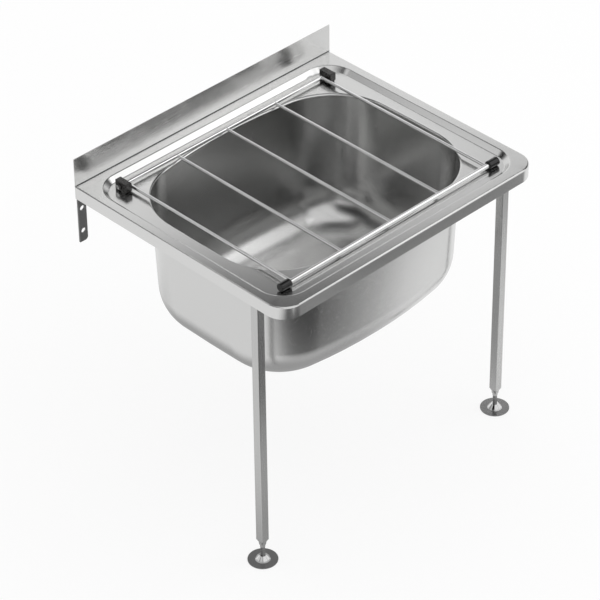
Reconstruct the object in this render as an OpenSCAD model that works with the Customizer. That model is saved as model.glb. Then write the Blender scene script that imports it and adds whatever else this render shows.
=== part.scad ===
// Wall-hung utility sink in stainless sheet with a hinged bucket grate, an upright
// splashback, two wall brackets and two front legs with adjustable feet.
// Millimetres. X runs left to right, Y from the front to the wall, Z up from the floor.

/* [Sink top] */
// Overall width from side to side
sink_w = 600; // [480:1:720]
// Overall depth from the wall to the front edge
sink_d = 500; // [400:1:600]
// Height of the rim above the floor
rim_h = 565; // [480:1:900]
// Thickness of the stainless sheet
sheet_t = 1.2; // [0.8:0.1:2]
// Height of the skirt that hangs from the rim
skirt_h = 24; // [15:1:60]
// Outer bend radius between rim and skirt
edge_r = 3; // [2:0.5:6]
// Plan radius of the two front corners
corner_r = 38; // [20:1:60]
// Flat rim width at the left and right sides
rim_side_w = 17; // [12:1:30]
// Flat rim width at the front
rim_front_w = 20; // [12:1:40]
// Flat rim width at the wall side
rim_back_w = 19; // [12:1:40]
// Plan radius of the recess corners at rim level
recess_r = 52; // [30:1:80]
// Width and drop of the sloping step down to the deck
step_w = 9; // [4:0.5:12]
// Inner bend radius above and below the sloping step
step_bend_r = 2; // [1:0.5:3]

/* [Splashback] */
// Height of the splashback above the rim
splash_h = 55; // [30:1:150]
// Size of the weld bead along the foot of the splashback
bead_r = 1.4; // [0.5:0.1:2.5]

/* [Bowl] */
// Distance of the bowl mouth from each side of the sink
mouth_side = 44; // [38:0.5:70]
// Distance of the bowl mouth from the front edge
mouth_front = 51.5; // [40:0.5:100]
// Distance of the bowl mouth from the wall
mouth_back = 44.5; // [40:0.5:100]
// Plan radius of the mouth corners
mouth_r = 127; // [90:1:160]
// Radius of the gentle bulge of the front and back walls
bulge_long_r = 900; // [600:10:2000]
// Radius of the gentle bulge of the left and right walls
bulge_short_r = 3000; // [1500:50:5000]
// Outer bend radius of the rolled lip
lip_r = 4; // [2:0.5:6]
// Straight collar under the lip, welded to the bowl
collar_h = 3; // [2:0.5:6]
// Depth of the bowl floor below the deck
bowl_depth = 256; // [150:1:320]
// Inside radius between bowl wall and floor
floor_r = 79; // [40:1:100]
// Lean of the bowl wall from upright, in degrees
wall_lean = 2.35; // [1:0.05:6]
// Radius of the round dish pressed in the floor
dish_r = 80; // [50:1:100]
// Depth of that dish
dish_h = 5; // [3:0.5:8]
// Radius of the flat seat around the outlet
seat_r = 40; // [36:1:45]
// Fall from the dish edge to the flat seat
seat_fall = 1; // [0.5:0.5:2]
// Radius of the outlet hole
outlet_r = 26; // [24:0.5:30]

/* [Grate] */
// Diameter of the five cross bars
bar_dia = 6; // [4:0.5:10]
// Side play between the outer cross bars and the hinge blocks
bar_play = 1.5; // [0.5:0.1:4]
// Diameter of the hinge rod at the wall side
rear_rod_dia = 8; // [6:0.5:10]
// Distance of the hinge rod axis from the wall
rear_rod_y = 51; // [44:0.5:70]
// Length of the hinge rod outside each hinge block
rod_poke = 2; // [1:0.5:5]
// Diameter of the front rod
front_rod_dia = 8.5; // [6:0.5:10]
// Distance of the front rod axis from the front edge
front_rod_y = 54; // [48:0.5:90]
// Diameter of the black buffers on the front rod
buffer_dia = 15; // [13:0.5:18]
// Length of each buffer
buffer_len = 22.5; // [12:0.5:28]
// Space between the outer cross bar and the buffer
buffer_gap = 0.3; // [0.2:0.1:2]
// Edge radius of the buffers
buffer_edge_r = 1.5; // [0.5:0.1:3]
// Closed end wall of the buffers
buffer_wall = 3; // [2:0.5:6]
// Space between the closed grate buffers and the deck
rest_gap = 0.3; // [0.2:0.1:1]

/* [Hinge blocks] */
// Distance of the inner block face from the side of the sink
block_side = 65.5; // [60:0.5:90]
// Width of the block without its round boss
block_w = 12; // [8:0.5:16]
// Thickness of the round boss on the outer face
boss_t = 1; // [0.5:0.1:2]
// Radius of the round boss
boss_r = 6.6; // [5.5:0.1:7.5]
// Length of the block behind the hinge rod axis
block_back = 9; // [8:0.5:12]
// Length of the block in front of the hinge rod axis
block_front = 19; // [16:0.5:24]
// Height of the block above the deck
block_h = 18.5; // [16:0.5:26]
// Radius of the upper front edge
nose_r = 2.2; // [1:0.1:4]
// Radius of the lower front edge
toe_r = 6; // [3:0.5:8]
// Radius between rod and block bore, play
rod_play = 0.08; // [0.02:0.01:0.1]
// Diameter of the block screws
block_screw_dia = 5; // [4:0.5:6]
// Length of block screw inside the block
block_screw_len = 12; // [8:1:16]
// Distance of the block screw in front of the hinge rod axis
block_screw_y = 11; // [9:0.5:12]
// Diameter of the block screw head
block_screw_head_dia = 9.5; // [8:0.5:12]
// Height of the block screw head
block_screw_head_h = 3; // [2:0.5:4]
// Diameter of the recess for the driver
driver_dia = 3; // [2:0.1:4]

/* [Wall brackets] */
// Width of the bracket strip
bracket_w = 17.5; // [14:0.5:40]
// Thickness of the bracket strip
bracket_t = 3; // [2:0.5:5]
// Distance from the rim down to the lower bracket end
bracket_drop = 113; // [60:1:200]
// Radius of the inner lower bracket corner
bracket_r = 6; // [2:0.5:8]
// Diameter of the fixing holes
fix_dia = 10; // [6:0.5:12]
// Distance of the fixing holes from the side of the sink
fix_x = 10; // [8:0.5:20]
// Distance from the rim down to the upper fixing hole
fix_drop = 46; // [30:0.5:80]
// Distance between upper and lower fixing hole
fix_pitch = 46; // [30:0.5:80]

/* [Legs] */
// Outer size of the square leg tube
leg_s = 16; // [14:0.5:40]
// Wall thickness of the leg tube
leg_t = 1.2; // [1:0.1:2]
// Outer corner radius of the leg tube
leg_r = 1.6; // [1.3:0.1:4]
// Distance of the leg middle from the front edge
leg_y = 69.5; // [50:0.5:150]
// Height of the lower tube end above the floor
leg_bottom = 46; // [35:1:80]
// Length of each insert inside the tube
insert_len = 20; // [12:1:40]
// Length of the plate that carries a leg under the rim
mount_len = 44; // [30:1:60]
// Width of that plate
mount_w = 13.2; // [10:0.1:14]
// Thickness of that plate
mount_t = 2; // [1.5:0.1:3]
// Diameter of the leg stud
stud_dia = 8; // [6:1:10]
// Length of the leg stud inside the insert
stud_len = 16; // [10:1:30]
// Width of the end plug below its first taper
plug_mid_w = 10.6; // [10:0.1:14]
// Corner radius of the end plug there
plug_mid_r = 2; // [1:0.1:3]
// Height of the first plug taper
plug_top_h = 6; // [4:0.5:10]
// Width of the end plug below its second taper
plug_neck_w = 9.9; // [9.7:0.1:12]
// Height of the second plug taper
plug_neck_h = 5.5; // [3:0.5:8]
// Corner radius of the end plug there
plug_neck_r = 2.2; // [1:0.1:3]
// Upper diameter of the round plug end
plug_cone_dia = 9.6; // [9.4:0.1:12]
// Height of the round plug end
plug_cone_h = 5; // [3:0.5:8]
// Diameter of the lower plug end
plug_end_dia = 9.2; // [9:0.1:9.6]

/* [Feet] */
// Diameter of the foot spindle
spindle_dia = 8; // [6:1:10]
// Radius between spindle and plug bore, play
spindle_play = 0.08; // [0.02:0.01:0.1]
// Height of the spindle top above the floor
spindle_top = 92; // [70:1:120]
// Depth of the thread grooves
groove_h = 0.4; // [0.2:0.05:0.6]
// Pitch of the thread grooves
groove_pitch = 1.25; // [1:0.05:2]
// Diameter of the foot disc
disc_dia = 53; // [30:1:70]
// Thickness of the foot disc
disc_t = 2; // [2:0.5:8]
// Edge radius of the foot disc
disc_edge_r = 0.8; // [0.2:0.1:1.5]
// Lower diameter of the foot cone
cone_dia = 27; // [20:0.5:40]
// Upper diameter of the foot cone
cone_top_dia = 12.3; // [10:0.1:20]
// Height of the foot cone
cone_h = 9; // [6:0.5:20]

/* [Waste] */
// Radius of the strainer flange and of both gaskets
flange_r = 35; // [30:0.5:38]
// Thickness of the strainer sheet
strainer_t = 1.5; // [1:0.1:2]
// Outer radius of the strainer cup
strainer_cup_r = 24; // [20:0.5:25]
// Depth of the strainer cup
strainer_cup_h = 9; // [5:0.5:12]
// Diameter of the strainer holes
strainer_hole_dia = 6; // [4:0.5:8]
// Ring radius of the outer strainer holes
strainer_ring_r = 17.5; // [14:0.5:20]
// Number of the outer strainer holes
strainer_hole_count = 12; // [8:1:14]
// Thickness of the upper gasket
upper_gasket_t = 2; // [1:0.5:3]
// Thickness of the lower gasket
lower_gasket_t = 3; // [2:0.5:4]
// Thickness of the body flange
body_flange_t = 4; // [3:0.5:6]
// Outer radius of the body cup
body_cup_r = 30; // [28:0.5:34]
// Depth of the body cup below its flange
body_cup_h = 20; // [14:1:40]
// Wall thickness of the body
body_wall = 3; // [2:0.5:4]
// Outer diameter of the threaded tail
tail_dia = 47.8; // [40:0.1:60]
// Length of the threaded tail
tail_len = 36; // [25:1:60]
// Diameter of the waste screw
waste_screw_dia = 6; // [5:1:8]
// Diameter of the waste screw head
waste_head_dia = 12; // [10:0.5:14]
// Height of the waste screw head
waste_head_h = 2.5; // [2:0.5:4]
// Radius of the screw boss in the body
screw_boss_r = 6; // [5:0.5:8]
// Height of the screw boss and its arms
screw_boss_h = 7; // [4:0.5:10]
// Number of arms that hold the boss
boss_arm_count = 3; // [2:1:4]
// Width of these arms
boss_arm_w = 4; // [3:0.5:6]
// Radius between a fixed screw and its bore
screw_play = 0.05; // [0.02:0.01:0.1]

/* [Hidden] */
// Overrun of every cut
cut = 1;
// Smooth round facets
round_fn = 64;
// Corner, front, side, bend and fillet steps of the pressed forms
corner_steps = 18;
front_steps = 8;
side_steps = 2;
bend_steps = 8;
fillet_steps = 14;
round_edge_steps = 4;
right_angle = 90;
half_turn = 180;
full_turn = 360;
half_w = sink_w / 2;
half_d = sink_d / 2;
deck_z = rim_h - step_w;
skirt_z = rim_h - skirt_h;
splash_front_y = half_d - sheet_t;
// Shift of a sheet's lower edge at a bend of half a right angle
bend_shift = sheet_t * tan(right_angle / 4);
// Margin above and below the sloping step that holds its bends
step_margin = step_bend_r + sheet_t;
recess_x = half_w - rim_side_w;
recess_front_y = -half_d + rim_front_w;
recess_back_y = half_d - rim_back_w;
lip_z = deck_z - lip_r;
collar_z = lip_z - collar_h;
floor_z = deck_z - bowl_depth;
seat_z = floor_z - dish_h - seat_fall;
// Four-arc mouth outline: middle, then centres of the side, long and corner arcs
mouth_y = (mouth_front - mouth_back) / 2;
half_mouth_w = half_w - mouth_side;
half_mouth_d = half_d - (mouth_front + mouth_back) / 2;
side_c = [half_mouth_w - bulge_short_r, 0];
long_c = [0, half_mouth_d - bulge_long_r];
side_reach = bulge_short_r - mouth_r;
long_reach = bulge_long_r - mouth_r;
centre_gap = norm(long_c - side_c);
centre_dir = (long_c - side_c) / centre_gap;
centre_foot = (centre_gap * centre_gap + side_reach * side_reach - long_reach * long_reach)
    / (2 * centre_gap);
centre_off = sqrt(side_reach * side_reach - centre_foot * centre_foot);
corner_c = side_c + centre_dir * centre_foot + centre_off * [-centre_dir[1], centre_dir[0]];
side_turn = atan2(corner_c[1] - side_c[1], corner_c[0] - side_c[0]);
long_turn = atan2(corner_c[1] - long_c[1], corner_c[0] - long_c[0]);
// Wall and floor fillet of the bowl, measured inwards from the mouth outline
wall_t = sheet_t / cos(wall_lean);
fillet_z = floor_z + floor_r;
fillet_in = lip_r + (floor_r + (collar_z - fillet_z) * sin(wall_lean)) / cos(wall_lean);
rod_y = half_d - rear_rod_y;
rod_r = rear_rod_dia / 2;
bar_r = bar_dia / 2;
front_rod_r = front_rod_dia / 2;
buffer_r = buffer_dia / 2;
front_y = -half_d + front_rod_y;
// Both rods and all cross bars lie at one height, set by the buffers on the deck
grate_z = deck_z + buffer_r + rest_gap;
block_x = half_w - block_side;
block_low = deck_z - grate_z;
block_end_x = block_x + block_w + boss_t;
block_mid_x = block_x + block_w / 2;
block_screw_pos = rod_y - block_screw_y;
outer_bar_x = block_x - bar_play - bar_r;
bar_pitch = outer_bar_x / 2;
buffer_x = outer_bar_x + bar_r + buffer_gap;
bore_r = rod_r + rod_play;
block_screw_r = block_screw_dia / 2;
bracket_top = rim_h - edge_r;
bracket_low = rim_h - bracket_drop;
bracket_x = half_w - sheet_t - bracket_w;
leg_x = half_w - sheet_t - leg_s / 2;
leg_mid_y = -half_d + leg_y;
mount_z = rim_h - sheet_t;
leg_top = mount_z - mount_t;
leg_bore = leg_s - 2 * leg_t;
leg_bore_r = leg_r - leg_t;
mount_x = half_w - edge_r - mount_w;
stud_r = stud_dia / 2;
spindle_r = spindle_dia / 2;
plug_mid_z = leg_bottom - plug_top_h;
plug_neck_z = plug_mid_z - plug_neck_h;
plug_z = plug_neck_z - plug_cone_h;
cone_z = disc_t;
spindle_low = cone_z + cone_h;
strainer_z = seat_z + upper_gasket_t;
cup_floor_z = strainer_z - strainer_cup_h;
under_z = seat_z - sheet_t;
body_z = under_z - lower_gasket_t;
cup_low_z = body_z - body_flange_t - body_cup_h;
tail_r = tail_dia / 2;
boss_z = cup_low_z + body_wall;
waste_screw_r = waste_screw_dia / 2;

// Points of one arc without its last point
function arc_points(c, r, from, to, steps) =
    [for (i = [0 : steps - 1]) let (a = from + (to - from) * i / steps) c + r * [cos(a), sin(a)]];

// Mouth outline moved inwards by the given distance
function mouth(inward) = let (
    rs = bulge_short_r - inward,
    rl = bulge_long_r - inward,
    rc = mouth_r - inward,
    s = side_turn,
    l = long_turn,
    h = half_turn,
    cx = corner_c[0],
    cy = corner_c[1]
) concat(
    arc_points(side_c, rs, -s, s, side_steps),
    arc_points([cx, cy], rc, s, l, corner_steps),
    arc_points(long_c, rl, l, h - l, front_steps),
    arc_points([-cx, cy], rc, h - l, h - s, corner_steps),
    arc_points(-side_c, rs, h - s, h + s, side_steps),
    arc_points([-cx, -cy], rc, h + s, h + l, corner_steps),
    arc_points(-long_c, rl, h + l, full_turn - l, front_steps),
    arc_points([cx, -cy], rc, full_turn - l, full_turn - s, corner_steps)
);

// Rings of the mouth outline, one for each [inward, height] pair of a section
function rings(section) = [for (s = section) for (p = mouth(s[0])) [p[0], p[1], s[1]]];

// Triangles between ring a and ring b with n points each
function band(a, b, n) = [
    for (i = [0 : n - 1]) let (j = (i + 1) % n) each [
        [a * n + i, b * n + i, b * n + j],
        [a * n + i, b * n + j, a * n + j]
    ]
];

// Closed tube-like form whose section runs once around
module mouth_ring(section) {
    n = len(mouth(0));
    m = len(section);
    polyhedron(
        points = rings(section),
        faces = [for (k = [0 : m - 1]) each band(k, (k + 1) % m, n)]
    );
}

// Cup-like form whose section starts at the inner floor and ends at the outer floor
module mouth_cup(section) {
    n = len(mouth(0));
    m = len(section);
    polyhedron(
        points = rings(section),
        faces = concat(
            [[for (i = [0 : n - 1]) n - 1 - i]],
            [for (k = [0 : m - 2]) each band(k + 1, k, n)],
            [[for (i = [0 : n - 1]) (m - 1) * n + i]]
        )
    );
}

// Fillet of the bowl, from the floor up to the wall, with its radius
function fillet(r) = [
    for (i = [0 : fillet_steps]) let (
        a = right_angle + (wall_lean - right_angle) * i / fillet_steps
    ) [fillet_in - r * cos(a), fillet_z - r * sin(a)]
];

// Bend of the lip, from the deck down to the collar, with its radius
function lip_bend(r) = [
    for (i = [0 : bend_steps]) let (a = right_angle * i / bend_steps)
        [r * sin(a), lip_z + r * cos(a)]
];

function backwards(list) = [for (i = [len(list) - 1 : -1 : 0]) list[i]];

// Box from a low corner to a high corner
module block(low, high) {
    translate(low)
        cube(high - low);
}

// Cylinder along Z with a radius between two heights
module post(r, low, high) {
    translate([0, 0, low])
        cylinder(r = r, h = high - low, $fn = round_fn);
}

// Cylinder along X with a radius between two places
module rod_x(r, low, high) {
    translate([low, 0, 0])
        rotate([0, right_angle, 0])
            cylinder(r = r, h = high - low, $fn = round_fn);
}

// Ring around Z
module ring(r_in, r_out, low, high) {
    difference() {
        post(r_out, low, high);
        post(r_in, low - cut, high + cut);
    }
}

// Rectangle whose four corners are round
module round_rect(low, high, r) {
    translate(low + [r, 0])
        square(high - low - [2 * r, 0]);
    translate(low + [0, r])
        square(high - low - [0, 2 * r]);
    for (x = [low[0] + r, high[0] - r])
        for (y = [low[1] + r, high[1] - r])
            translate([x, y])
                circle(r = r, $fn = round_fn);
}

// Rim outline with round front corners, smaller by the given inset
module rim_outline(inset) {
    r = corner_r - inset;
    x = half_w - inset;
    y = half_d - inset;
    translate([-x, -half_d + corner_r])
        square([2 * x, splash_front_y + half_d - corner_r]);
    translate([-half_w + corner_r, -y])
        square([sink_w - 2 * corner_r, corner_r]);
    for (s = [-1, 1])
        translate([s * (half_w - corner_r), -half_d + corner_r])
            circle(r = r, $fn = round_fn);
}

// Recess outline, smaller by the given inset
module recess_outline(inset) {
    round_rect(
        [-recess_x + inset, recess_front_y + inset],
        [recess_x - inset, recess_back_y - inset],
        recess_r - inset
    );
}

// Section of the skirt with its bend; X counts outwards from the bend centre
module skirt_section() {
    translate([edge_r - sheet_t, -skirt_h + edge_r])
        square([sheet_t, skirt_h - edge_r]);
    intersection() {
        difference() {
            circle(r = edge_r, $fn = round_fn);
            circle(r = edge_r - sheet_t, $fn = round_fn);
        }
        square([edge_r, edge_r]);
    }
}

// Straight length of skirt along Y on the right-hand side
module skirt_side() {
    length = splash_front_y + half_d - corner_r;
    translate([half_w - edge_r, splash_front_y, rim_h - edge_r])
        rotate([right_angle, 0, 0])
            linear_extrude(length)
                skirt_section();
}

// Straight length of skirt along X at the front
module skirt_front() {
    length = sink_w - 2 * corner_r;
    translate([-length / 2, -half_d + edge_r, rim_h - edge_r])
        rotate([0, 0, -right_angle])
            rotate([right_angle, 0, 0])
                mirror([0, 0, 1])
                    linear_extrude(length)
                        skirt_section();
}

// Round skirt corner at the front right
module skirt_corner() {
    translate([half_w - corner_r, -half_d + corner_r, rim_h - edge_r])
        rotate([0, 0, -right_angle])
            rotate_extrude(angle = right_angle, $fn = round_fn)
                translate([corner_r - edge_r, 0])
                    skirt_section();
}

// Points of one arc with its last point
function bend(c, r, from, to) =
    [for (i = [0 : round_edge_steps])
        let (a = from + (to - from) * i / round_edge_steps) c + r * [cos(a), sin(a)]];

// Section of the sloping step with its bends; X counts outwards from its lower edge
module step_section() {
    outer_r = step_bend_r + sheet_t;
    half_bend = right_angle / 2;
    shift = tan(half_bend / 2);
    low_c = [-step_bend_r * shift, step_bend_r];
    high_c = [step_w + outer_r * shift, step_w - outer_r];
    polygon(concat(
        [[-step_margin, 0]],
        bend(low_c, step_bend_r, -right_angle, -half_bend),
        bend(high_c, outer_r, right_angle + half_bend, right_angle),
        [[step_w + step_margin, step_w], [step_w + step_margin, step_w - sheet_t]],
        bend(high_c, step_bend_r, right_angle, right_angle + half_bend),
        bend(low_c, outer_r, -half_bend, -right_angle),
        [[-step_margin, -sheet_t]]
    ));
}

// Round step corner, back right
module step_corner() {
    rotate_extrude(angle = right_angle, $fn = round_fn)
        translate([recess_r - step_w, 0])
            step_section();
}

// Straight step along Y, on the right, of a length centred on Y zero
module step_run(length) {
    translate([0, length / 2, 0])
        rotate([right_angle, 0, 0])
            linear_extrude(length)
                step_section();
}

module step() {
    x = recess_x - recess_r;
    mid_y = (recess_front_y + recess_back_y) / 2;
    y = (recess_back_y - recess_front_y) / 2 - recess_r;
    translate([0, mid_y, deck_z]) {
        for (s = [0, 1])
            mirror([s, 0, 0]) {
                translate([recess_x - step_w, 0, 0])
                    step_run(2 * y);
                for (t = [0, 1])
                    mirror([0, t, 0])
                        translate([x, y, 0])
                            step_corner();
            }
        for (t = [0, 1])
            mirror([0, t, 0])
                translate([0, y + recess_r - step_w, 0])
                    rotate([0, 0, right_angle])
                        step_run(2 * x);
    }
}

// Places of the two block screws
module at_block_screws() {
    for (s = [-1, 1])
        translate([s * block_mid_x, block_screw_pos, 0])
            children();
}

module sink_top() {
    lip = concat(
        lip_bend(lip_r),
        [[lip_r, collar_z], [lip_r - sheet_t, collar_z]],
        backwards(lip_bend(lip_r - sheet_t))
    );
    color("silver") {
        difference() {
            union() {
                translate([0, 0, rim_h - sheet_t])
                    linear_extrude(sheet_t)
                        difference() {
                            rim_outline(edge_r);
                            recess_outline(-step_margin);
                        }
                for (s = [0, 1])
                    mirror([s, 0, 0]) {
                        skirt_side();
                        skirt_corner();
                    }
                skirt_front();
                step();
                translate([0, 0, deck_z - sheet_t])
                    linear_extrude(sheet_t)
                        difference() {
                            recess_outline(step_w + step_margin);
                            translate([0, mouth_y])
                                polygon(mouth(0));
                        }
                translate([0, mouth_y, 0])
                    mouth_ring(lip);
            }
            at_block_screws()
                post(block_screw_r + screw_play, deck_z - sheet_t - cut, deck_z + cut);
        }
    }
}

module splashback() {
    color("silver") {
        block([-half_w, splash_front_y, skirt_z], [half_w, half_d, rim_h + splash_h]);
        translate([-half_w + edge_r, splash_front_y, rim_h])
            rotate([right_angle, 0, right_angle])
                linear_extrude(sink_w - 2 * edge_r)
                    intersection() {
                        circle(r = bead_r, $fn = round_fn);
                        translate([-bead_r, 0])
                            square([bead_r, bead_r]);
                    }
    }
}

module bowl() {
    inside = concat(fillet(floor_r), [[lip_r, collar_z]]);
    outside = concat([[lip_r - wall_t, collar_z]], backwards(fillet(floor_r + sheet_t)));
    slope_r = dish_r - dish_h;
    color("silver")
        translate([0, mouth_y, 0]) {
            difference() {
                mouth_cup(concat(inside, outside));
                post(dish_r, floor_z - sheet_t - cut, floor_z + cut);
            }
            translate([0, 0, floor_z])
                rotate_extrude($fn = round_fn)
                    polygon([
                        [dish_r, 0],
                        [slope_r, -dish_h],
                        [seat_r, -dish_h - seat_fall],
                        [outlet_r, -dish_h - seat_fall],
                        [outlet_r, -dish_h - seat_fall - sheet_t],
                        [seat_r, -dish_h - seat_fall - sheet_t],
                        [slope_r + bend_shift, -dish_h - sheet_t],
                        [dish_r + bend_shift, -sheet_t]
                    ]);
        }
}

module wall_bracket(s) {
    color("gray")
        mirror([s < 0 ? 1 : 0, 0, 0])
            difference() {
                translate([0, splash_front_y, 0])
                    rotate([right_angle, 0, 0])
                        linear_extrude(bracket_t)
                            union() {
                                translate([bracket_x + bracket_r, bracket_low])
                                    square([bracket_w - bracket_r, bracket_top - bracket_low]);
                                translate([bracket_x, bracket_low + bracket_r])
                                    square([bracket_w, bracket_top - bracket_low - bracket_r]);
                                translate([bracket_x + bracket_r, bracket_low + bracket_r])
                                    circle(r = bracket_r, $fn = round_fn);
                            }
                for (z = [rim_h - fix_drop, rim_h - fix_drop - fix_pitch])
                    translate([half_w - fix_x, splash_front_y + cut, z])
                        rotate([right_angle, 0, 0])
                            cylinder(r = fix_dia / 2, h = bracket_t + 2 * cut, $fn = round_fn);
            }
}

// Section of a hinge block around the rod axis; X counts towards the wall
module block_section() {
    low = [-block_front, block_low];
    high = [block_back, block_low + block_h];
    difference() {
        union() {
            translate(low + [toe_r, 0])
                square(high - low - [toe_r, nose_r]);
            translate(low + [nose_r, toe_r])
                square(high - low - [nose_r, toe_r]);
            translate(low + [0, toe_r])
                square([toe_r, block_h - toe_r - nose_r]);
            translate(low + [toe_r, toe_r])
                circle(r = toe_r, $fn = round_fn);
            translate([low[0] + nose_r, high[1] - nose_r])
                circle(r = nose_r, $fn = round_fn);
        }
        circle(r = bore_r, $fn = round_fn);
    }
}

// Bearing block for one end of the hinge rod, with a round boss on its outer face
module hinge_block(s) {
    color("black")
        mirror([s < 0 ? 1 : 0, 0, 0])
            difference() {
                translate([block_x, rod_y, grate_z])
                    rotate([right_angle, 0, right_angle]) {
                        linear_extrude(block_w)
                            block_section();
                        ring(bore_r, boss_r, block_w / 2, block_w + boss_t);
                    }
                translate([block_mid_x, block_screw_pos, 0])
                    post(block_screw_r + screw_play, deck_z - cut, deck_z + block_screw_len + cut);
            }
}

module hinge_block_screws() {
    head_z = deck_z - sheet_t - block_screw_head_h;
    color("gray")
        at_block_screws() {
            post(block_screw_r, head_z + block_screw_head_h / 2, deck_z + block_screw_len);
            difference() {
                post(block_screw_head_dia / 2, head_z, head_z + block_screw_head_h);
                translate([0, 0, head_z - cut])
                    cylinder(d = driver_dia, h = block_screw_head_h / 2 + cut, $fn = 6);
            }
        }
}

module grate_rear_rod() {
    color("silver")
        translate([0, rod_y, grate_z])
            rod_x(rod_r, -block_end_x - rod_poke, block_end_x + rod_poke);
}

module grate_front_rod() {
    reach = buffer_x + buffer_len - buffer_wall;
    color("silver")
        translate([0, front_y, grate_z])
            rod_x(front_rod_r, -reach, reach);
}

// Cross bar number n, counted from the left, coped where it meets both rods
module grate_bar(n) {
    x = (n - 3) * bar_pitch;
    color("silver")
        difference() {
            translate([x, rod_y, grate_z])
                rotate([right_angle, 0, 0])
                    cylinder(r = bar_r, h = rod_y - front_y, $fn = round_fn);
            translate([0, rod_y, grate_z])
                rod_x(rod_r, x - bar_dia, x + bar_dia);
            translate([0, front_y, grate_z])
                rod_x(front_rod_r, x - bar_dia, x + bar_dia);
        }
}

// Closed sleeve over the end of the front rod
module grate_buffer(s) {
    inner = buffer_len - buffer_wall;
    color("black")
        mirror([s < 0 ? 1 : 0, 0, 0])
            translate([buffer_x, front_y, grate_z])
                rotate([0, right_angle, 0])
                    difference() {
                        union() {
                            post(buffer_r, buffer_edge_r, buffer_len - buffer_edge_r);
                            post(buffer_r - buffer_edge_r, 0, buffer_len);
                            for (z = [buffer_edge_r, buffer_len - buffer_edge_r])
                                translate([0, 0, z])
                                    rotate_extrude($fn = round_fn)
                                        translate([buffer_r - buffer_edge_r, 0])
                                            intersection() {
                                                circle(r = buffer_edge_r, $fn = round_fn);
                                                translate([0, -buffer_edge_r])
                                                    square([buffer_edge_r, 2 * buffer_edge_r]);
                                            }
                        }
                        post(front_rod_r, -cut, inner);
                    }
}

// Moves a left or right leg part to its leg
module at_leg(s) {
    translate([s * leg_x, leg_mid_y, 0])
        children();
}

// Square with round corners around the leg axis
module leg_square(size, r) {
    round_rect([-size / 2, -size / 2], [size / 2, size / 2], r);
}

module leg(s) {
    color("silver")
        at_leg(s)
            translate([0, 0, leg_bottom])
                linear_extrude(leg_top - leg_bottom)
                    difference() {
                        leg_square(leg_s, leg_r);
                        leg_square(leg_bore, leg_bore_r);
                    }
}

module leg_mount(s) {
    low = leg_mid_y - mount_len / 2;
    color("silver") {
        mirror([s < 0 ? 1 : 0, 0, 0])
            block([mount_x, low, leg_top], [mount_x + mount_w, low + mount_len, mount_z]);
        at_leg(s)
            post(stud_r, leg_top - stud_len, leg_top + mount_t / 2);
    }
}

module leg_top_insert(s) {
    color("gray")
        at_leg(s)
            difference() {
                translate([0, 0, leg_top - insert_len])
                    linear_extrude(insert_len)
                        leg_square(leg_bore, leg_bore_r);
                post(stud_r + screw_play, leg_top - insert_len - cut, leg_top + cut);
            }
}

// Points of a square with round corners at a height
function square_ring(size, r, z) = let (c = size / 2 - r, q = right_angle) [
    for (p = concat(
        bend([c, c], r, 0, q),
        bend([-c, c], r, q, half_turn),
        bend([-c, -c], r, half_turn, half_turn + q),
        bend([c, -c], r, half_turn + q, full_turn)
    )) [p[0], p[1], z]
];

// Two tapers of the end plug, from the tube's outline down to the neck
module plug_tapers() {
    top = square_ring(leg_s, leg_r, leg_bottom);
    n = len(top);
    polyhedron(
        points = concat(
            top,
            square_ring(plug_mid_w, plug_mid_r, plug_mid_z),
            square_ring(plug_neck_w, plug_neck_r, plug_neck_z)
        ),
        faces = concat(
            [[for (i = [0 : n - 1]) n - 1 - i]],
            band(1, 0, n),
            band(2, 1, n),
            [[for (i = [0 : n - 1]) 2 * n + i]]
        )
    );
}

module leg_end_plug(s) {
    color("silver")
        at_leg(s)
            difference() {
                union() {
                    translate([0, 0, leg_bottom])
                        linear_extrude(insert_len)
                            leg_square(leg_bore, leg_bore_r);
                    plug_tapers();
                    translate([0, 0, plug_z])
                        cylinder(d1 = plug_end_dia, d2 = plug_cone_dia, h = plug_cone_h,
                            $fn = round_fn);
                }
                post(spindle_r + spindle_play, plug_z - cut, leg_bottom + insert_len + cut);
            }
}

module foot_spindle(s) {
    grooves = floor((spindle_top - spindle_low) / groove_pitch) - 1;
    low = spindle_top - (grooves + 1) * groove_pitch;
    color("silver")
        at_leg(s)
            rotate_extrude($fn = round_fn)
                polygon(concat(
                    [[0, spindle_low], [spindle_r, spindle_low]],
                    [for (i = [0 : grooves - 1]) each [
                        [spindle_r, low + (i + 1 / 4) * groove_pitch],
                        [spindle_r - groove_h, low + (i + 1 / 2) * groove_pitch],
                        [spindle_r, low + (i + 3 / 4) * groove_pitch]
                    ]],
                    [
                        [spindle_r, spindle_top - groove_pitch],
                        [spindle_r - groove_pitch, spindle_top],
                        [0, spindle_top]
                    ]
                ));
}

module foot_cone(s) {
    color("silver")
        at_leg(s)
            translate([0, 0, cone_z])
                cylinder(d1 = cone_dia, d2 = cone_top_dia, h = cone_h, $fn = round_fn);
}

module foot_disc(s) {
    r = disc_dia / 2;
    e = disc_edge_r;
    color("dimgray")
        at_leg(s)
            rotate_extrude($fn = round_fn)
                union() {
                    square([r - e, disc_t]);
                    translate([0, e])
                        square([r, disc_t - 2 * e]);
                    for (z = [e, disc_t - e])
                        translate([r - e, z])
                            circle(r = e, $fn = round_fn);
                }
}

// Moves a waste part to the bowl outlet
module at_outlet() {
    translate([0, mouth_y, 0])
        children();
}

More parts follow.
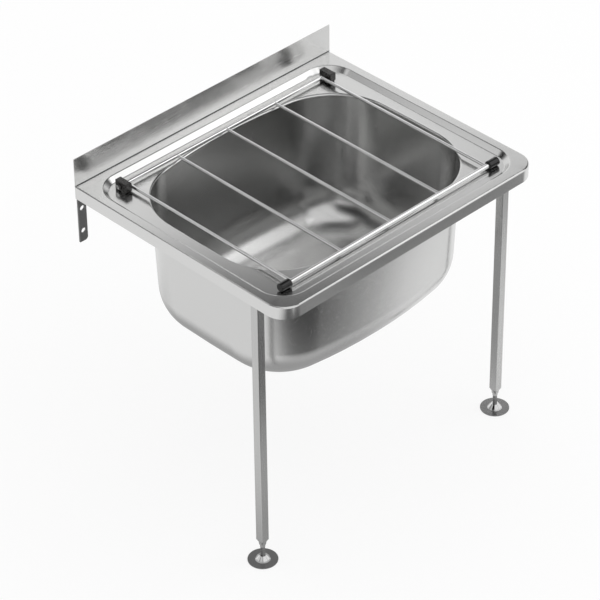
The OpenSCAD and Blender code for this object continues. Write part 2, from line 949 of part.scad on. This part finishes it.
module waste_strainer() {
    cup_in_r = strainer_cup_r - strainer_t;
    color("silver")
        at_outlet()
            difference() {
                union() {
                    ring(cup_in_r, flange_r, strainer_z, strainer_z + strainer_t);
                    ring(cup_in_r, strainer_cup_r, cup_floor_z, strainer_z + strainer_t / 2);
                    post(strainer_cup_r, cup_floor_z, cup_floor_z + strainer_t);
                }
                for (ring = [[strainer_ring_r, strainer_hole_count],
                    [strainer_ring_r / 2 + waste_screw_r / 2, strainer_hole_count / 2]])
                    for (i = [1 : ring[1]])
                        rotate([0, 0, full_turn * i / ring[1]])
                            translate([ring[0], 0, 0])
                                post(strainer_hole_dia / 2, cup_floor_z - cut,
                                    cup_floor_z + strainer_t + cut);
                post(waste_screw_r + screw_play, cup_floor_z - cut, cup_floor_z + strainer_t + cut);
            }
}

module waste_upper_gasket() {
    color("black")
        at_outlet()
            ring(outlet_r, flange_r, seat_z, strainer_z);
}

module waste_lower_gasket() {
    color("black")
        at_outlet()
            ring(outlet_r, flange_r, body_z, under_z);
}

module waste_body() {
    flange_z = body_z - body_flange_t;
    in_r = body_cup_r - body_wall;
    bore = tail_r - body_wall;
    color("white")
        at_outlet()
            difference() {
                union() {
                    ring(outlet_r, flange_r, flange_z, body_z);
                    ring(in_r, body_cup_r, cup_low_z, body_z - body_flange_t / 2);
                    ring(bore, body_cup_r, cup_low_z, cup_low_z + body_wall);
                    ring(bore, tail_r, cup_low_z - tail_len, cup_low_z + body_wall / 2);
                    post(screw_boss_r, boss_z, boss_z + screw_boss_h);
                    for (i = [1 : boss_arm_count])
                        rotate([0, 0, full_turn * i / boss_arm_count])
                            block(
                                [0, -boss_arm_w / 2, boss_z],
                                [in_r + body_wall / 2, boss_arm_w / 2, boss_z + screw_boss_h / 2]
                            );
                }
                post(waste_screw_r + screw_play, boss_z - cut, boss_z + screw_boss_h + cut);
            }
}

module waste_screw() {
    seat = cup_floor_z + strainer_t;
    color("silver")
        at_outlet()
            difference() {
                union() {
                    post(waste_screw_r, boss_z, seat + waste_head_h / 2);
                    post(waste_head_dia / 2, seat, seat + waste_head_h);
                }
                block(
                    [-waste_head_dia, -waste_head_h / 4, seat + waste_head_h / 2],
                    [waste_head_dia, waste_head_h / 4, seat + waste_head_h + cut]
                );
            }
}

sink_top();
splashback();
bowl();
wall_bracket(-1);  // wall_bracket_left
wall_bracket(1);  // wall_bracket_right
hinge_block(-1);  // hinge_block_left
hinge_block(1);  // hinge_block_right
hinge_block_screws();
grate_rear_rod();
grate_front_rod();
grate_bar(1);  // grate_bar_1
grate_bar(2);  // grate_bar_2
grate_bar(3);  // grate_bar_3
grate_bar(4);  // grate_bar_4
grate_bar(5);  // grate_bar_5
grate_buffer(-1);  // grate_buffer_left
grate_buffer(1);  // grate_buffer_right
leg(-1);  // leg_left
leg(1);  // leg_right
leg_mount(-1);  // leg_mount_left
leg_mount(1);  // leg_mount_right
leg_top_insert(-1);  // leg_top_insert_left
leg_top_insert(1);  // leg_top_insert_right
leg_end_plug(-1);  // leg_end_plug_left
leg_end_plug(1);  // leg_end_plug_right
foot_spindle(-1);  // foot_spindle_left
foot_spindle(1);  // foot_spindle_right
foot_cone(-1);  // foot_cone_left
foot_cone(1);  // foot_cone_right
foot_disc(-1);  // foot_disc_left
foot_disc(1);  // foot_disc_right
waste_strainer();
waste_upper_gasket();
waste_lower_gasket();
waste_body();
waste_screw();
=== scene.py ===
import math

import bpy
from mathutils import Matrix, Vector

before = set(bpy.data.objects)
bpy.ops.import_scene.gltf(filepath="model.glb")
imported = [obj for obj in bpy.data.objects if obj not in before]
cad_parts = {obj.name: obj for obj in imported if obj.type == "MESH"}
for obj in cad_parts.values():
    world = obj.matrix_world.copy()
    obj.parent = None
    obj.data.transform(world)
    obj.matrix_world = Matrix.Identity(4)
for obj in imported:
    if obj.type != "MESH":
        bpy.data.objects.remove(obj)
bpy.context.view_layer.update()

# Looks of a wall-hung utility sink: satin steel, black fittings, studio and camera.
# Metres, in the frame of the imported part: X to the right, Y to the wall, Z up.

# Camera
CAMERA_AZIMUTH = math.radians(-44.082)
CAMERA_ELEVATION = math.radians(36.741)
CAMERA_ROLL = math.radians(-0.656)
CAMERA_PLACE = Vector((-2.9601, -3.0347, 3.4664))
FOCAL_PIXELS = 3056.527
FRAME_PIXELS = 600
SENSOR_WIDTH = 36.0
CLIP_END = 100.0

# Studio
FLOOR_HALF = 20.0
FLOOR_COLOUR = (0.95, 0.95, 0.95)
FLOOR_SHADE = 0.997
FLOOR_ROUGHNESS = 0.9
FLOOR_SPECULAR = 0.1
FLOOR_GRAIN_SCALE = 3.0
FLOOR_GRAIN_DETAIL = 3.0
FLOOR_WHITE_SHARE = 0.75
ROOM_LIGHT = 1.0
WHITE = (1.0, 1.0, 1.0)

# Studio cards that only reflections see, the later in front of the earlier:
# azimuth from +Y to +X and elevation, half width and half height in degrees, brightness
MIRROR_RAY = Vector((0.5575, 0.5757, 0.5982))
CARDS_CENTRE = Vector((0.0, 0.0, 0.5))
CARDS_DISTANCE = 6.0
CARDS_STEP = 0.1
CARD_SOLID = 0.25
CARDS = {
    "card_high_front": (219, 56, 55, 29, 0.92),
    "card_right": (106, 42, 50, 36, 0.0),
    "card_front_right_window": (132, 26, 16, 19, 1.4),
    "card_back_right_window": (46, 40, 24, 18, 1.0),
    "card_back_right": (62, 46, 33, 14, 0.0),
    "card_left": (264, 40, 48, 24, 0.0),
    "card_back_left": (328, 44, 31, 41, 0.0),
    "card_back_left_window": (314, 39, 12, 13, 1.0),
    "card_low_left": (243, 23, 34, 12, 0.87),
    "card_back_window": (5, 60, 22, 12, 1.0),
    "card_right_window": (84, 55, 24, 8, 1.0),
}

# A dark flag over the sink, for its front left corner: place, half width and height, brightness
RIM_FLAG = ((0.11, 0.11, 1.21), 0.50, 0.50, 0.08)

# Floor cards that only reflections see: place, half length along X and Y, brightness
FLOOR_CARDS = {
    "card_floor": (-0.26, -0.78, 0.89, 0.50, 0.05),
    "card_floor_right": (0.64, -1.07, 0.60, 0.78, 0.2),
    "card_floor_pale": (0.81, -0.24, 0.62, 0.54, 1.0),
    "card_floor_under": (-0.06, 0.05, 0.49, 0.75, 0.45),
}
FLOOR_CARD_HEIGHT = 0.001

# Soft lamps: place, target, width, height, power
LAMPS = {
    "key": ((1.06, -0.81, 1.92), (0.0, 0.2, 0.6), 1.1, 0.8, 3.6),
}

# Steel colours
STAINLESS = (0.655, 0.655, 0.65)
BRACKET = (0.20, 0.20, 0.20)
ROD = (0.80, 0.80, 0.80)
CHROME = (0.70, 0.70, 0.70)
DISC = (0.27, 0.27, 0.27)
ZINC = (0.58, 0.58, 0.56)
# Colour of the painted shade line in the fold between the splashback and the rim
CREASE_SHADE = (0.10, 0.10, 0.10)
# The bowl takes the top's stainless, a little darker: painted shade
BOWL_PAINTED_SHADE = 0.96
# The legs take the top's stainless, darker: painted shade
LEG_PAINTED_SHADE = 0.80

# The fold between the splashback and the rim, where a thin line of painted shade runs
FOLD_HEIGHT = 0.5662
CREASE_SHADE_HALF = 0.0007

# Steel finish: brushed grain, cloudy roughness, worn marks and shallow waves of the sheet
GRAIN_DETAIL = 3.0
GRAIN_BREAKUP = 0.65
GRAIN_SPREAD = 0.02
GRAIN_TINT = 0.01
GRAIN_BUMP = 0.12
GRAIN_DEPTH = 0.000002
CLOUD_SCALE = 9.0
CLOUD_DETAIL = 4.0
CLOUD_BREAKUP = 0.6
CLOUD_SPREAD = 0.02
MARK_STRETCH = 2.7
MARK_LIMIT = 0.74
MARK_SPREAD = 0.05
WAVE_SCALE = 5.0
WAVE_DEPTH = 0.00003

# Grain stretch for sheet brushed along X, and for rods and tubes drawn along their length
ALONG_X = (6.0, 1400.0, 1400.0)
ALONG_Y = (1400.0, 6.0, 1400.0)
ALONG_Z = (1400.0, 1400.0, 6.0)

# Plastic finish: moulded skin and the marks of handling
PLASTIC_SPECULAR = 0.5
SKIN_SCALE = 900.0
SKIN_BUMP = 0.4
SKIN_DEPTH = 0.00003
BLOCK_SKIN_DEPTH = 0.000008
BUFFER_SKIN_DEPTH = 0.000004
HANDLING_SCALE = 60.0
HANDLING_STRETCH = (1.0, 1.0, 2.5)
HANDLING_DETAIL = 5.0
HANDLING_BREAKUP = 0.7
HANDLING_SPREAD = 0.18
HANDLING_DARK = 0.8
HANDLING_PALE = 1.35

# Edges that bend more than this stay sharp
SHARP_ANGLE = math.radians(38)
WELD_DISTANCE = 0.00001
NORMAL_WEIGHT = 100


def set_inputs(node, values):
    for name, value in values.items():
        node.inputs[name].default_value = value


def new_material(name):
    """A node material with its tree and its principled shader."""
    material = bpy.data.materials.new(name)
    material.use_nodes = True
    tree = material.node_tree
    return material, tree, tree.nodes["Principled BSDF"]


def math_node(tree, operation, *values):
    """A Math node; the values are sockets or numbers. Returns its output socket."""
    node = tree.nodes.new("ShaderNodeMath")
    node.operation = operation
    for socket, value in zip(node.inputs, values):
        if isinstance(value, bpy.types.NodeSocket):
            tree.links.new(value, socket)
        else:
            socket.default_value = value
    return node.outputs[0]


def object_axes(tree):
    """The sockets of the point's X, Y and Z in object space, by name."""
    coord = tree.nodes.new("ShaderNodeTexCoord")
    split = tree.nodes.new("ShaderNodeSeparateXYZ")
    tree.links.new(coord.outputs["Object"], split.inputs[0])
    return split.outputs


def noise(tree, scale, stretch=(1.0, 1.0, 1.0), detail=2.0, roughness=0.5):
    """Noise in object space, stretched per axis. Returns its value socket."""
    coord = tree.nodes.new("ShaderNodeTexCoord")
    mapping = tree.nodes.new("ShaderNodeMapping")
    texture = tree.nodes.new("ShaderNodeTexNoise")
    set_inputs(mapping, {"Scale": stretch})
    set_inputs(texture, {"Scale": scale, "Detail": detail, "Roughness": roughness})
    tree.links.new(coord.outputs["Object"], mapping.inputs["Vector"])
    tree.links.new(mapping.outputs["Vector"], texture.inputs["Vector"])
    return texture.outputs["Fac"]


def bump(tree, height, strength, distance, before=None):
    """A Bump node on a height socket, on top of an earlier one."""
    node = tree.nodes.new("ShaderNodeBump")
    set_inputs(node, {"Strength": strength, "Distance": distance})
    tree.links.new(height, node.inputs["Height"])
    if before is not None:
        tree.links.new(before, node.inputs["Normal"])
    return node.outputs["Normal"]


def mix_colours(tree, factor, low, high):
    """A colour between low, a colour or a socket, and high, by a factor socket."""
    mix = tree.nodes.new("ShaderNodeMix")
    mix.data_type = "RGBA"
    tree.links.new(factor, mix.inputs["Factor"])
    if isinstance(low, bpy.types.NodeSocket):
        tree.links.new(low, mix.inputs["A"])
    else:
        mix.inputs["A"].default_value = (*low, 1.0)
    mix.inputs["B"].default_value = (*high, 1.0)
    return mix.outputs["Result"]


def mix_shaders(tree, factor, first, second, output):
    """The named output shows the first shader where the factor is 0, the second where it is 1."""
    mix = tree.nodes.new("ShaderNodeMixShader")
    tree.links.new(factor, mix.inputs[0])
    tree.links.new(first.outputs[0], mix.inputs[1])
    tree.links.new(second.outputs[0], mix.inputs[2])
    tree.links.new(mix.outputs[0], tree.nodes[output].inputs["Surface"])


def shade(colour, factor):
    return tuple(min(c * factor, 1.0) for c in colour)


def paint_crease_shade(tree, colour, height):
    """The colour, darker in a thin band at a height: painted shade along a fold."""
    shade_band = math_node(tree, "COMPARE", object_axes(tree)["Z"], height, CREASE_SHADE_HALF)
    return mix_colours(tree, shade_band, colour, CREASE_SHADE)


def steel(name, colour, roughness, grain, wave_depth=0.0, painted_shade_height=None):
    """Satin steel with fine grain lines, cloudy roughness and faint worn marks.

    grain stretches the grain noise: small along the brushing, large across it.
    The fold height, if given, is where a thin line of painted shade runs along the fold."""
    material, tree, shader = new_material(name)
    set_inputs(shader, {"Metallic": 1.0})
    lines = noise(tree, 1.0, grain, GRAIN_DETAIL, GRAIN_BREAKUP)
    clouds = noise(tree, CLOUD_SCALE, detail=CLOUD_DETAIL, roughness=CLOUD_BREAKUP)
    spots = noise(tree, 1.0, tuple(g * MARK_STRETCH for g in grain), detail=1.0)
    marks = math_node(tree, "GREATER_THAN", spots, MARK_LIMIT)
    brushed = math_node(tree, "MULTIPLY_ADD", lines, GRAIN_SPREAD, roughness - GRAIN_SPREAD)
    cloudy = math_node(tree, "MULTIPLY", clouds, CLOUD_SPREAD)
    worn = math_node(tree, "MULTIPLY", marks, MARK_SPREAD)
    both = math_node(tree, "ADD", brushed, cloudy)
    tree.links.new(math_node(tree, "ADD", both, worn), shader.inputs["Roughness"])
    base = mix_colours(tree, lines, shade(colour, 1.0 - GRAIN_TINT),
                       shade(colour, 1.0 + GRAIN_TINT))
    if painted_shade_height is not None:
        base = paint_crease_shade(tree, base, painted_shade_height)
    tree.links.new(base, shader.inputs["Base Color"])
    normal = bump(tree, lines, GRAIN_BUMP, GRAIN_DEPTH)
    if wave_depth:
        normal = bump(tree, noise(tree, WAVE_SCALE, detail=1.0), 1.0, wave_depth, normal)
    tree.links.new(normal, shader.inputs["Normal"])
    return material


def plastic(name, colour, roughness, skin_depth=SKIN_DEPTH):
    """Moulded plastic with a fine skin texture and handling marks."""
    material, tree, shader = new_material(name)
    set_inputs(shader, {"Specular IOR Level": PLASTIC_SPECULAR})
    skin = noise(tree, SKIN_SCALE)
    marks = noise(tree, HANDLING_SCALE, HANDLING_STRETCH, HANDLING_DETAIL, HANDLING_BREAKUP)
    spread = math_node(tree, "MULTIPLY_ADD", marks, HANDLING_SPREAD,
                       roughness - HANDLING_SPREAD / 2)
    tree.links.new(spread, shader.inputs["Roughness"])
    base = mix_colours(tree, marks, shade(colour, HANDLING_DARK), shade(colour, HANDLING_PALE))
    tree.links.new(base, shader.inputs["Base Color"])
    tree.links.new(bump(tree, skin, SKIN_BUMP, skin_depth), shader.inputs["Normal"])
    return material


MATERIALS = {
    "top": steel("satin_sheet", STAINLESS, 0.19, ALONG_X, WAVE_DEPTH),
    # The splashback gets a thin line of painted shade at the fold
    "splash": steel("folded_sheet", STAINLESS, 0.27, ALONG_X, painted_shade_height=FOLD_HEIGHT),
    "bowl": steel("drawn_sheet", shade(STAINLESS, BOWL_PAINTED_SHADE), 0.23, ALONG_Z, WAVE_DEPTH),
    "bracket": steel("plain_strip", BRACKET, 0.42, ALONG_Z),
    "leg": steel("square_tube", shade(STAINLESS, LEG_PAINTED_SHADE), 0.27, ALONG_Z),
    "rod_x": steel("bright_rod", ROD, 0.14, ALONG_X),
    "rod_y": steel("bright_bar", ROD, 0.14, ALONG_Y),
    "chrome": steel("turned_chrome", CHROME, 0.06, ALONG_Z),
    "spindle": steel("rolled_spindle", DISC, 0.25, ALONG_Z),
    "disc": steel("foot_disc_steel", DISC, 0.18, ALONG_Y),
    "zinc": steel("zinc_screw", ZINC, 0.35, ALONG_Z),
    "block": plastic("black_moulding", (0.012, 0.011, 0.010), 0.26, BLOCK_SKIN_DEPTH),
    "buffer": plastic("black_buffer", (0.004, 0.004, 0.004), 0.17, BUFFER_SKIN_DEPTH),
    "insert": plastic("grey_insert", (0.20, 0.20, 0.20), 0.5),
    "gasket": plastic("gasket_rubber", (0.03, 0.03, 0.03), 0.7),
    "waste": plastic("waste_plastic", (0.78, 0.78, 0.76), 0.42),
}

FINISH = {
    "sink_top": "top", "splashback": "splash", "bowl": "bowl", "wall_bracket": "bracket",
    "hinge_block_screws": "zinc", "hinge_block": "block", "grate_buffer": "buffer",
    "grate_rear_rod": "rod_x", "grate_front_rod": "rod_x", "grate_bar": "rod_y",
    "leg": "leg", "leg_mount": "bracket", "leg_top_insert": "insert",
    "foot_spindle": "spindle", "foot_cone": "chrome", "foot_disc": "disc",
    "waste_strainer": "rod_x", "waste_screw": "zinc", "waste_upper_gasket": "gasket",
    "waste_lower_gasket": "gasket", "waste_body": "waste",
}


def finish_of(node):
    """The longest key of FINISH that the node's name starts with gives its material."""
    key = max((k for k in FINISH if node.startswith(k)), key=len)
    return MATERIALS[FINISH[key]]


def smooth_group():
    """A geometry node group that joins coincident points and smooths all but sharp edges."""
    group = bpy.data.node_groups.new("smooth_by_angle", "GeometryNodeTree")
    for direction in ("INPUT", "OUTPUT"):
        group.interface.new_socket("Geometry", in_out=direction,
                                   socket_type="NodeSocketGeometry")
    enter = group.nodes.new("NodeGroupInput")
    leave = group.nodes.new("NodeGroupOutput")
    join = group.nodes.new("GeometryNodeMergeByDistance")
    join.inputs["Distance"].default_value = WELD_DISTANCE
    faces = group.nodes.new("GeometryNodeSetShadeSmooth")
    edges = group.nodes.new("GeometryNodeSetShadeSmooth")
    edges.domain = "EDGE"
    angle = group.nodes.new("GeometryNodeInputMeshEdgeAngle")
    compare = group.nodes.new("FunctionNodeCompare")
    compare.data_type = "FLOAT"
    compare.operation = "LESS_THAN"
    compare.inputs["B"].default_value = SHARP_ANGLE
    link = group.links.new
    link(enter.outputs[0], join.inputs["Geometry"])
    link(join.outputs["Geometry"], faces.inputs["Geometry"])
    link(faces.outputs["Geometry"], edges.inputs["Geometry"])
    link(angle.outputs["Unsigned Angle"], compare.inputs["A"])
    link(compare.outputs["Result"], edges.inputs["Shade Smooth"])
    link(edges.outputs["Geometry"], leave.inputs[0])
    return group


SMOOTH = smooth_group()


def smooth(piece):
    """Smooth shading that keeps flat faces flat; no point moves."""
    nodes = piece.modifiers.new("smooth_by_angle", "NODES")
    nodes.node_group = SMOOTH
    weighted = piece.modifiers.new("weighted_normals", "WEIGHTED_NORMAL")
    weighted.keep_sharp = True
    weighted.weight = NORMAL_WEIGHT


def dress(piece, node):
    """The piece's own finish and smooth shading."""
    piece.data.materials.clear()
    piece.data.materials.append(finish_of(node))
    smooth(piece)


for node_name, node_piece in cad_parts.items():
    dress(node_piece, node_name)


def make_camera():
    """The camera at the photograph's viewing angle."""
    a, e, r = CAMERA_AZIMUTH, CAMERA_ELEVATION, CAMERA_ROLL
    back = Vector((math.sin(a) * math.cos(e), -math.cos(a) * math.cos(e), math.sin(e)))
    right = Vector((math.cos(a), math.sin(a), 0.0))
    up = back.cross(right)
    rolled_right = right * math.cos(r) + up * math.sin(r)
    rolled_up = up * math.cos(r) - right * math.sin(r)
    data = bpy.data.cameras.new("camera")
    data.sensor_width = SENSOR_WIDTH
    data.lens = FOCAL_PIXELS / FRAME_PIXELS * SENSOR_WIDTH
    data.clip_end = CLIP_END
    camera = bpy.data.objects.new("camera", data)
    turn = Matrix((rolled_right, rolled_up, back)).transposed()
    camera.matrix_world = Matrix.Translation(CAMERA_PLACE) @ turn.to_4x4()
    bpy.context.scene.collection.objects.link(camera)
    bpy.context.scene.camera = camera


def plane(name, half_x, half_y, matrix):
    """A flat rectangle as a stage object."""
    mesh = bpy.data.meshes.new(name)
    corners = [(-half_x, -half_y, 0), (half_x, -half_y, 0), (half_x, half_y, 0),
               (-half_x, half_y, 0)]
    mesh.from_pydata(corners, [], [(0, 1, 2, 3)])
    piece = bpy.data.objects.new(name, mesh)
    piece.matrix_world = matrix
    bpy.context.scene.collection.objects.link(piece)
    return piece


def seen_ray(tree):
    """1 for what the camera, the metal and glass see, otherwise 0."""
    path = tree.nodes.new("ShaderNodeLightPath")
    seen = math_node(tree, "MAXIMUM", path.outputs["Is Camera Ray"],
                     path.outputs["Is Glossy Ray"])
    return math_node(tree, "MAXIMUM", seen, path.outputs["Is Transmission Ray"])


def make_floor():
    """A pale floor that takes the object's shadow and otherwise looks almost white."""
    material, tree, shader = new_material("pale_floor")
    set_inputs(shader, {"Roughness": FLOOR_ROUGHNESS, "Specular IOR Level": FLOOR_SPECULAR})
    grain = noise(tree, FLOOR_GRAIN_SCALE, detail=FLOOR_GRAIN_DETAIL)
    base = mix_colours(tree, grain, shade(FLOOR_COLOUR, FLOOR_SHADE), FLOOR_COLOUR)
    tree.links.new(base, shader.inputs["Base Color"])
    white = tree.nodes.new("ShaderNodeEmission")
    set_inputs(white, {"Color": (*WHITE, 1.0)})
    share = math_node(tree, "MULTIPLY", seen_ray(tree), FLOOR_WHITE_SHARE)
    mix_shaders(tree, share, shader, white, "Material Output")
    floor = plane("floor", FLOOR_HALF, FLOOR_HALF, Matrix.Identity(4))
    floor.data.materials.append(material)


def make_world():
    """White for what the camera and the metal see, plain soft light for the rest."""
    world = bpy.data.worlds.new("studio")
    bpy.context.scene.world = world
    world.use_nodes = True
    tree = world.node_tree
    light = tree.nodes["Background"]
    set_inputs(light, {"Color": (*WHITE, 1.0), "Strength": ROOM_LIGHT})
    white = tree.nodes.new("ShaderNodeBackground")
    set_inputs(white, {"Color": (*WHITE, 1.0)})
    mix_shaders(tree, seen_ray(tree), light, white, "World Output")


def facing(place, target):
    """A matrix at a place whose -Z looks at the target."""
    turn = (Vector(target) - Vector(place)).to_track_quat("-Z", "Y").to_matrix().to_4x4()
    return Matrix.Translation(place) @ turn


def soft_light(name, place, target, width, height, power):
    """A rectangular lamp that looks at the target."""
    data = bpy.data.lights.new(name, "AREA")
    data.shape = "RECTANGLE"
    data.size = width
    data.size_y = height
    data.energy = power
    lamp = bpy.data.objects.new(name, data)
    lamp.matrix_world = facing(place, target)
    bpy.context.scene.collection.objects.link(lamp)


def studio_card(name, matrix, half_x, half_y, brightness):
    """A studio card that only reflections see, solid in its middle and soft at its rim."""
    card = plane(name, half_x, half_y, matrix)
    card.visible_camera = False
    card.visible_diffuse = False
    card.visible_transmission = False
    card.visible_shadow = False
    card.visible_volume_scatter = False
    material, tree, shader = new_material(name)
    tree.nodes.remove(shader)
    material.cycles.emission_sampling = "NONE"
    axes = object_axes(tree)
    cover = []
    for axis, half in (("X", half_x), ("Y", half_y)):
        ramp = tree.nodes.new("ShaderNodeMapRange")
        ramp.interpolation_type = "SMOOTHERSTEP"
        set_inputs(ramp, {"From Min": 1.0, "From Max": CARD_SOLID,
                          "To Min": 0.0, "To Max": 1.0})
        side = math_node(tree, "ABSOLUTE", math_node(tree, "DIVIDE", axes[axis], half))
        tree.links.new(side, ramp.inputs["Value"])
        cover.append(ramp.outputs[0])
    clear = tree.nodes.new("ShaderNodeBsdfTransparent")
    glow = tree.nodes.new("ShaderNodeEmission")
    set_inputs(glow, {"Strength": brightness})
    mix_shaders(tree, math_node(tree, "MULTIPLY", *cover), clear, glow, "Material Output")
    card.data.materials.append(material)


def hang_cards():
    """Sky cards on a dome round the object, each a little nearer than the one before,
    then the flag over the sink and the cards on the floor."""
    for order, (name, values) in enumerate(CARDS.items()):
        azimuth, elevation, half_width, half_height = map(math.radians, values[:4])
        distance = CARDS_DISTANCE - CARDS_STEP * order
        outward = Vector((math.sin(azimuth) * math.cos(elevation),
                          math.cos(azimuth) * math.cos(elevation), math.sin(elevation)))
        matrix = facing(CARDS_CENTRE + outward * distance, CARDS_CENTRE)
        studio_card(name, matrix, distance * math.tan(half_width),
                    distance * math.tan(half_height), values[4])
    place, *flag_form = RIM_FLAG
    studio_card("rim_flag", facing(place, Vector(place) - MIRROR_RAY), *flag_form)
    for order, (name, (x, y, half_x, half_y, brightness)) in enumerate(FLOOR_CARDS.items(), 1):
        matrix = Matrix.Translation((x, y, FLOOR_CARD_HEIGHT * order))
        studio_card(name, matrix, half_x, half_y, brightness)


make_camera()
make_floor()
make_world()
hang_cards()
for lamp_name, lamp_form in LAMPS.items():
    soft_light(lamp_name, *lamp_form)
bpy.context.scene.view_settings.view_transform = "Standard"
